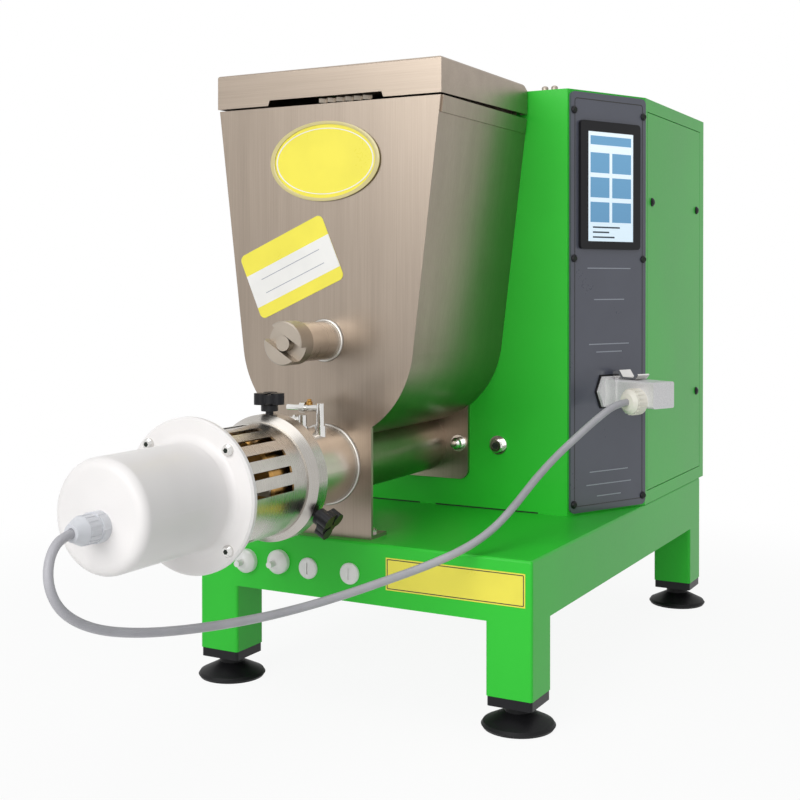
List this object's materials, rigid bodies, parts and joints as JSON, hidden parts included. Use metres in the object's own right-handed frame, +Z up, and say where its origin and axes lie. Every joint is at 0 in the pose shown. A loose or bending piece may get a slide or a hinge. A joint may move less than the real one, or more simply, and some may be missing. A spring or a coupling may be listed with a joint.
{
  "type": "electric pasta extruder",
  "caption": "Countertop electric pasta extruder with a lidded steel hopper, mixer, auger barrel, slotted cutter guard with motor, control panel and cord.",
  "frame": {"origin": "middle of the bounding box of the machine without its cord and plug, at floor level under the feet", "axes": "+X to the right seen from the front, +Y to the rear along the barrel, +Z up"},
  "size_m": [0.3575, 0.7849, 0.513],
  "materials": {
    "green_paint": "powder-coated, satin, fine orange peel",
    "slate_paint": "printed panel, satin",
    "white_paint": "smooth painted casting, satin",
    "black_paint": "painted black, satin",
    "stainless": "brushed stainless sheet",
    "turned_steel": "turned stainless",
    "bright_steel": "polished",
    "die_bronze": "turned bronze",
    "die_cast": "die-cast, fine matt",
    "gear_steel": "machined",
    "motor_grey": "painted casting",
    "black_rubber": "soft sheen",
    "black_plastic": "moulded, light texture",
    "ivory_plastic": "moulded, ribbed",
    "white_plastic": "moulded",
    "grey_gland": "moulded",
    "cord_grey": "smooth sheath",
    "badge_blank": "blank plate",
    "screen_glass": "lit display glass"
  },
  "bodies": {
    "machine": {"welded_base": "green_paint", "cabinet_shell": "green_paint", "side_cover": "green_paint", "rear_cover": "green_paint", "control_panel": "slate_paint", "cutter_housing": "white_paint", "hopper_trough": "stainless", "hopper_front_plate": "stainless", "hopper_rear_plate": "stainless", "cutter_guard": "stainless", "hinge_ears": "stainless", "mixer_boss": "turned_steel", "boss_cap": "turned_steel", "auger_barrel": "turned_steel", "shaft_bearings": "turned_steel", "bright_fixings": "bright_steel", "cutter_screws": "bright_steel", "cooling_elbows": "bright_steel", "brass_die": "die_bronze", "mixer_bush": "die_bronze", "connector_housing": "die_cast", "cord_plug": "die_cast", "gearbox": "motor_grey", "main_motor": "motor_grey", "cutter_motor": "motor_grey", "connector_gasket": "black_rubber", "leg_plugs": "black_plastic", "screen_bezel": "black_plastic", "mains_inlet": "black_plastic", "dark_screws": "black_paint", "plug_gland": "ivory_plastic", "front_fittings": "white_plastic", "motor_gland": "grey_gland", "cord": "cord_grey", "badge_plate": "badge_blank", "screen_display": "screen_glass"},
    "lid": {"lid": "stainless"},
    "auger": {"auger_screw": "turned_steel", "auger_gear": "gear_steel"},
    "mixer": {"mixer_shaft": "turned_steel", "mixer_gear": "gear_steel"},
    "blade": {"cutter_blade": "turned_steel"},
    "knob_top": {"clamp_knob_top": "black_plastic"},
    "knob_right": {"clamp_knob_right": "black_plastic"},
    "knob_left": {"clamp_knob_left": "black_plastic"},
    "lever": {"locking_lever": "bright_steel"},
    "foot_fl": {"foot_front_left": "black_rubber"},
    "foot_fr": {"foot_front_right": "black_rubber"},
    "foot_rl": {"foot_rear_left": "black_rubber"},
    "foot_rr": {"foot_rear_right": "black_rubber"},
    "rocker": {"mains_rocker": "black_plastic"}
  },
  "joints": [
    {"name": "lid_hinge", "type": "hinge", "parent": "machine", "child": "lid", "pos_m": [-0.04264, 0.07725, 0.503], "axis": [-1, 0, 0], "range_deg": [0, 90]},
    {"name": "auger_spin", "type": "hinge", "parent": "machine", "child": "auger", "pos_m": [-0.04264, -0.09375, 0.189], "axis": [0, 1, 0], "continuous": true},
    {"name": "mixer_spin", "type": "hinge", "parent": "machine", "child": "mixer", "pos_m": [-0.04264, -0.09375, 0.29], "axis": [0, 1, 0], "continuous": true},
    {"name": "blade_spin", "type": "hinge", "parent": "machine", "child": "blade", "pos_m": [-0.04264, -0.25575, 0.189], "axis": [0, 1, 0], "continuous": true},
    {"name": "knob_top_turn", "type": "hinge", "parent": "machine", "child": "knob_top", "pos_m": [-0.04264, -0.16275, 0.244], "axis": [0, 0, 1], "continuous": true},
    {"name": "knob_right_turn", "type": "hinge", "parent": "machine", "child": "knob_right", "pos_m": [0.00499, -0.16275, 0.1615], "axis": [0.866, 0, -0.5], "continuous": true},
    {"name": "knob_left_turn", "type": "hinge", "parent": "machine", "child": "knob_left", "pos_m": [-0.09027, -0.16275, 0.1615], "axis": [-0.866, 0, -0.5], "continuous": true},
    {"name": "lever_hinge", "type": "hinge", "parent": "machine", "child": "lever", "pos_m": [0.13507, 0.13374, 0.2551], "axis": [-0.4329, -0.9014, 0], "range_deg": [0, 100]},
    {"name": "foot_fl_turn", "type": "hinge", "parent": "machine", "child": "foot_fl", "pos_m": [-0.14214, -0.07475, 0.0125], "axis": [0, 0, 1], "continuous": true},
    {"name": "foot_fr_turn", "type": "hinge", "parent": "machine", "child": "foot_fr", "pos_m": [0.12486, -0.07475, 0.0125], "axis": [0, 0, 1], "continuous": true},
    {"name": "foot_rl_turn", "type": "hinge", "parent": "machine", "child": "foot_rl", "pos_m": [-0.14214, 0.34725, 0.0125], "axis": [0, 0, 1], "continuous": true},
    {"name": "foot_rr_turn", "type": "hinge", "parent": "machine", "child": "foot_rr", "pos_m": [0.12486, 0.34725, 0.0125], "axis": [0, 0, 1], "continuous": true},
    {"name": "rocker_tilt", "type": "hinge", "parent": "machine", "child": "rocker", "pos_m": [0.09486, 0.37425, 0.207], "axis": [1, 0, 0], "range_deg": [0, 10]}
  ],
  "couplings": [
    {"joint": "mixer_spin", "follows": "auger_spin", "ratio": -0.66667}
  ]
}
